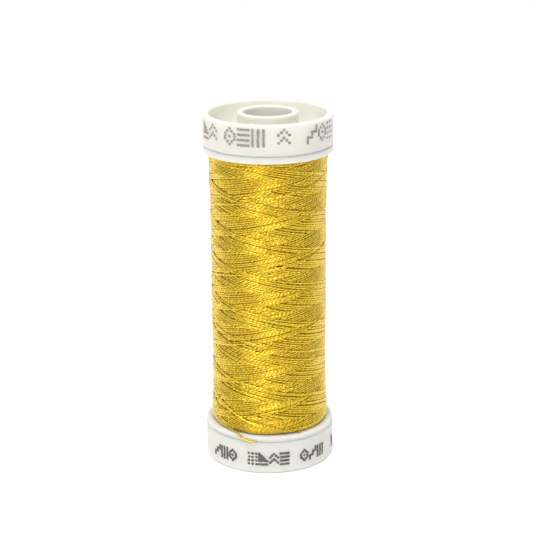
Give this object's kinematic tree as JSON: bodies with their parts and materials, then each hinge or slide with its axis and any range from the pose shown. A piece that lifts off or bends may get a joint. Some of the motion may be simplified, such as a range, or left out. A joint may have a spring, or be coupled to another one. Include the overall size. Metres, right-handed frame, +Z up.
{
  "type": "spool of thread",
  "caption": "Small plastic snap spool wound with fine embroidery thread; both end caps pull open to free the thread's end.",
  "frame": {"origin": "centre of the spool's foot, on the surface that it stands on", "axes": "+Z up along the spool's axis, -Y towards the front, where the loose end of the thread comes down"},
  "size_m": [0.02, 0.02, 0.0551],
  "materials": {
    "milky_plastic": "milky white moulded polypropylene, half gloss, slightly translucent",
    "thread": "golden yellow filament silk, two-ply twist, bright sheen",
    "print_ink": "grey-black ink-jet dots, thin and matt"
  },
  "bodies": {
    "barrel": {"barrel": "milky_plastic", "thread_winding": "thread", "thread_tail": "thread", "thread_start": "thread"},
    "upper_cap": {"upper_cap": "milky_plastic"},
    "lower_cap": {"lower_cap": "milky_plastic"}
  },
  "joints": [
    {"name": "upper_cap_snap", "type": "slide", "parent": "barrel", "child": "upper_cap", "axis": [0, 0, 1], "range_m": [0, 0.0015]},
    {"name": "lower_cap_snap", "type": "slide", "parent": "barrel", "child": "lower_cap", "axis": [0, 0, -1], "range_m": [0, 0.0015]}
  ]
}
